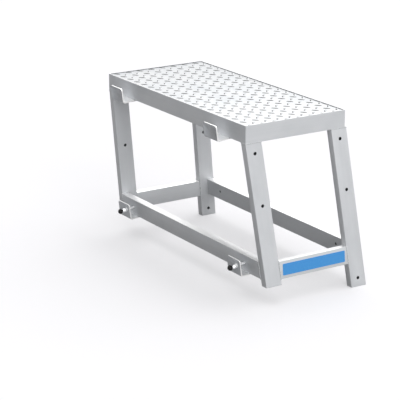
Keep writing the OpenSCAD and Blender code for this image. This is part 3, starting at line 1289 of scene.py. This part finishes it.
@dataclass
class WeldSeams:
    """The rippled beads along every joint of the frame."""

    fine_radius: float = 0.0015
    full_radius: float = 0.0026
    seed: int = 7
    # A bead's scales, in radii of the bead: distance from one to the next, half length,
    # least half height, and what chance adds to that
    step: float = 0.9
    scale_length: float = 0.75
    scale_height: float = 0.9
    scale_spread: float = 0.2
    scale_sides: int = 8
    scale_rings: int = 5
    # How far the beads lie below the deck's underside and the lower rail's
    top_drop: float = 0.0004
    plate_drop: float = 0.0005
    # Where the seams along a bent plate's flange start, and how long they are
    plate_start: float = 0.002
    plate_length: float = 0.024

    def bead(
        self, start: Vector, end: Vector, radius: float, rng: random.Random
    ) -> bmesh.types.BMesh:
        """Lays one bead as a row of overlapping scales.

        Args:
            start: First point of the seam.
            end: Last point of the seam.
            radius: Radius of the bead.
            rng: Source of the small differences between scales.

        Returns:
            A bmesh with the bead.
        """
        work = bmesh.new()
        along = end - start
        count = max(2, round(along.length / (radius * self.step)))
        turn = Vector((1, 0, 0)).rotation_difference(along).to_matrix().to_4x4()
        for k in range(count + 1):
            high = radius * (self.scale_height + self.scale_spread * rng.random())
            shape = Matrix.Diagonal((radius * self.scale_length, high, high, 1))
            bmesh.ops.create_uvsphere(
                work, u_segments=self.scale_sides, v_segments=self.scale_rings, radius=1.0,
                matrix=Matrix.Translation(start.lerp(end, k / count)) @ turn @ shape,
            )
        return work

    def leg_top_seams(self) -> list[Seam]:
        """Gives the seams between the legs and the deck rails.

        Returns:
            Start and end of each seam.
        """
        seams = []
        high = LAYOUT.underside - self.top_drop
        outer = LAYOUT.deck_length / 2
        inner = outer - LAYOUT.tube_depth / math.cos(LAYOUT.splay)
        for row in Row:
            front = LAYOUT.leg_top(row)
            back = front + LAYOUT.leg_cut
            for side in Side:
                s = side.value
                corners = [
                    Vector((s * outer, front, high)), Vector((s * outer, back, high)),
                    Vector((s * inner, back, high)), Vector((s * inner, front, high)),
                ]
                seams += ring_of(corners)
        return seams

    def long_rail_seams(self) -> list[Seam]:
        """Gives the seams round both ends of the long lower rails.

        Returns:
            Start and end of each seam.
        """
        seams = []
        tall, deep = LAYOUT.tube_width, LAYOUT.tube_depth
        for row in Row:
            place = LAYOUT.rail_frame(row)
            near, far = (0.0, deep) if row is Row.FRONT else (-deep, 0.0)
            for side in Side:
                corners = []
                for u, v in ((near, 0.0), (near, tall), (far, tall), (far, 0.0)):
                    point = place @ Vector((0, u, v))
                    point.x = side.value * LAYOUT.inner_face_x(point.z)
                    corners.append(point)
                seams += ring_of(corners)
        return seams

    def end_rail_seams(self) -> list[Seam]:
        """Gives the seams round both ends of the end lower rails.

        Returns:
            Start and end of each seam.
        """
        seams = []
        low = (LAYOUT.end_rail_z - LAYOUT.underside) / math.cos(LAYOUT.splay)
        for side in Side:
            place = LAYOUT.end_frame(side)
            for top in (LAYOUT.leg_top(Row.FRONT) + LAYOUT.leg_cut, LAYOUT.leg_top(Row.BACK)):
                corners = [
                    place @ Vector((n, top - s * math.tan(LAYOUT.lean), s))
                    for n, s in (
                        (0.0, low), (0.0, low + LAYOUT.tube_width),
                        (-LAYOUT.tube_depth, low + LAYOUT.tube_width), (-LAYOUT.tube_depth, low),
                    )
                ]
                seams += ring_of(corners)
        return seams

    def plate_seams(self) -> list[Seam]:
        """Gives the seams between the bent plates' flanges and the rails.

        Returns:
            Start and end of each seam.
        """
        seams = []
        for side in Side:
            middle = side.value * LAYOUT.hook_x
            for x in (middle - LAYOUT.hook_width / 2, middle + LAYOUT.hook_width / 2):
                start = Vector((
                    x, LAYOUT.front_edge + self.plate_start, LAYOUT.underside - self.plate_drop
                ))
                seams.append((start, start + Vector((0, self.plate_length, 0))))
            place = LAYOUT.rail_frame(Row.FRONT)
            middle = side.value * LAYOUT.pin_x - LAYOUT.pin_offset
            for x in (middle - LAYOUT.bracket_width / 2, middle + LAYOUT.bracket_width / 2):
                seams.append(tuple(
                    place @ Vector((x, y, -self.plate_drop))
                    for y in (self.plate_start, self.plate_start + self.plate_length)
                ))
        return seams

    def build(self) -> None:
        """Lays all the beads."""
        groups = (
            ("leg_top_welds", self.leg_top_seams(), self.fine_radius),
            ("long_rail_welds", self.long_rail_seams(), self.full_radius),
            ("end_rail_welds", self.end_rail_seams(), self.full_radius),
            ("bent_plate_welds", self.plate_seams(), self.full_radius),
        )
        rng = random.Random(self.seed)
        for name, seams, radius in groups:
            work = joined(self.bead(start, end, radius, rng) for start, end in seams)
            finish_piece(name, work, WeldMetal(), FRAME_BODY,
                         sharp=math.radians(70), recalc=False)


@dataclass(frozen=True)
class Lamp:
    """A wide soft lamp, far away."""

    name: str
    direction: Size
    level: float
    angle: float

    def build(self) -> None:
        """Sets the lamp."""
        lamp = bpy.data.lights.new(self.name, "SUN")
        lamp.energy = self.level
        lamp.angle = self.angle
        holder = bpy.data.objects.new(self.name, lamp)
        holder.rotation_euler = Vector(self.direction).to_track_quat("Z", "Y").to_euler()
        bpy.context.scene.collection.objects.link(holder)


@dataclass
class Studio:
    """Pale floor, soft light and the camera at the photograph's angle."""

    floor_size: float = 60.0
    lamps: tuple[Lamp, ...] = (
        Lamp("overhead lamp", (0.05, 0.36, 1.0), 2.85, math.radians(108)),
        Lamp("side lamp", (0.95, -0.22, 0.22), 1.8, math.radians(50)),
    )
    fill: float = 0.08
    floor_colour: str = "#FFFFFF"
    shadow_tint: str = "#FCFBFF"
    floor_bounce: str = "#646464"
    # Share of the lit paper in what the camera sees; the rest is plain white
    shadow_share: float = 0.6
    camera_place: Size = (5.1872, -3.4287, 2.1949)
    # Angles below the horizon and round the upright axis, in degrees
    camera_pitch: float = 17.384
    camera_yaw: float = 57.442
    # Focal length and film width, in millimetres
    lens: float = 146.107
    film_width: float = 36.0
    farthest: float = 200.0

    def sight(self, tree: bpy.types.NodeTree) -> bpy.types.NodeSocket:
        """Gives 1 on rays that look at the background, directly or in a reflection.

        Args:
            tree: Node tree that takes the nodes.

        Returns:
            The factor's socket.
        """
        path = add_node(tree, "ShaderNodeLightPath")
        first = add_node(tree, "ShaderNodeMath", {"operation": "MAXIMUM"},
                         {0: path.outputs["Is Camera Ray"], 1: path.outputs["Is Glossy Ray"]})
        both = add_node(tree, "ShaderNodeMath", {"operation": "MAXIMUM"},
                        {0: first.outputs[0], 1: path.outputs["Is Transmission Ray"]})
        return both.outputs[0]

    def floor(self) -> None:
        """Makes the plain pale floor, which keeps the unit's shadow."""
        work = bmesh.new()
        bmesh.ops.create_grid(work, x_segments=1, y_segments=1, size=self.floor_size / 2)
        mesh = bpy.data.meshes.new("floor")
        work.to_mesh(mesh)
        work.free()
        material = bpy.data.materials.new("white studio paper")
        material.use_nodes = True
        tree = material.node_tree
        tree.nodes.clear()
        paper = add_node(tree, "ShaderNodeBsdfDiffuse", {"Color": linear(self.shadow_tint)})
        white = add_node(
            tree, "ShaderNodeEmission", {"Color": linear(self.floor_colour), "Strength": 1.0}
        )
        seen = add_node(tree, "ShaderNodeMixShader", {"Fac": self.shadow_share},
                        {1: white.outputs[0], 2: paper.outputs[0]})
        unseen = add_node(tree, "ShaderNodeBsdfDiffuse", {"Color": linear(self.floor_bounce)})
        mixed = add_node(tree, "ShaderNodeMixShader",
                         links={0: self.sight(tree), 1: unseen.outputs[0], 2: seen.outputs[0]})
        add_node(tree, "ShaderNodeOutputMaterial", links={"Surface": mixed.outputs[0]})
        mesh.materials.append(material)
        floor = bpy.data.objects.new("floor", mesh)
        bpy.context.scene.collection.objects.link(floor)

    def light(self) -> None:
        """Sets the soft lamps and the fill from all round."""
        for lamp in self.lamps:
            lamp.build()
        world = bpy.data.worlds.new("studio")
        world.use_nodes = True
        tree = world.node_tree
        tree.nodes.clear()
        fill, white = (
            add_node(tree, "ShaderNodeBackground", {"Color": WHITE, "Strength": strength})
            for strength in (self.fill, 1.0)
        )
        mixed = add_node(tree, "ShaderNodeMixShader",
                         links={0: self.sight(tree), 1: fill.outputs[0], 2: white.outputs[0]})
        add_node(tree, "ShaderNodeOutputWorld", links={"Surface": mixed.outputs[0]})
        bpy.context.scene.world = world
        bpy.context.scene.view_settings.view_transform = "Standard"

    def camera(self) -> None:
        """Sets the camera where the photograph was taken from."""
        lens = bpy.data.cameras.new("camera")
        lens.lens = self.lens
        lens.sensor_width = self.film_width
        lens.clip_end = self.farthest
        holder = bpy.data.objects.new("camera", lens)
        holder.location = self.camera_place
        holder.rotation_euler = (
            math.radians(90 - self.camera_pitch), 0.0, math.radians(self.camera_yaw)
        )
        bpy.context.scene.collection.objects.link(holder)
        bpy.context.scene.camera = holder

    def build(self) -> None:
        """Makes the floor, the light and the camera."""
        self.floor()
        self.light()
        self.camera()


def main() -> None:
    """Builds the unit and its studio."""
    logging.basicConfig(level=logging.INFO, format="%(name)s: %(message)s")
    Studio().build()
    Deck().build()
    Undercarriage().build()
    Couplings().build()
    for side in Side:
        LockPin(side).build()
    WeldSeams().build()


if __name__ == "__main__":
    main()
